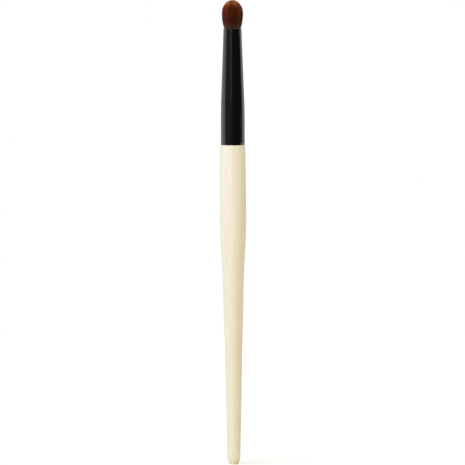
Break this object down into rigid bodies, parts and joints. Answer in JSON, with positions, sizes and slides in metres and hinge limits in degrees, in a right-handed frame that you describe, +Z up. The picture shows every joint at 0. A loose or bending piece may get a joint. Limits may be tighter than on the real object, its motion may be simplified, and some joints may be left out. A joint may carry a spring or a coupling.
{
  "type": "eyeshadow brush",
  "caption": "Round eyeshadow brush: turned cream-lacquered wooden handle, glossy black tapered ferrule and a domed tuft of brown hair that bends and springs back.",
  "frame": {"origin": "centre of the flat face that the handle's butt ends in", "axes": "+Z runs up the brush's axis from the butt to the tip of the hair; the brush is round about it. The lower half of the free hair bends about an axis along Y and the upper half about an axis along X"},
  "size_m": [0.0095, 0.0096, 0.17],
  "materials": {
    "cream_lacquered_wood": "satin",
    "black_coated_metal": "gloss",
    "brown_hair": "matte",
    "set_epoxy": "gloss",
    "tenon_adhesive": "satin",
    "binding_cotton": "matte"
  },
  "bodies": {
    "brush_body": {"handle": "cream_lacquered_wood", "ferrule": "black_coated_metal", "tenon_glue": "tenon_adhesive", "hair_heel": "brown_hair", "hair_glue": "set_epoxy", "binding_thread": "binding_cotton"},
    "belly_zone": {"hair_belly": "brown_hair"},
    "toe_zone": {"hair_toe": "brown_hair"}
  },
  "joints": [
    {"name": "belly_bend", "type": "hinge", "parent": "brush_body", "child": "belly_zone", "pos_m": [0, 0, 0.1597], "axis": [0, 1, 0], "range_deg": [-25, 25], "stiffness_Nm_per_rad": 0.005},
    {"name": "toe_bend", "type": "hinge", "parent": "belly_zone", "child": "toe_zone", "pos_m": [0, 0, 0.1619], "axis": [1, 0, 0], "range_deg": [-25, 25], "stiffness_Nm_per_rad": 0.002}
  ]
}
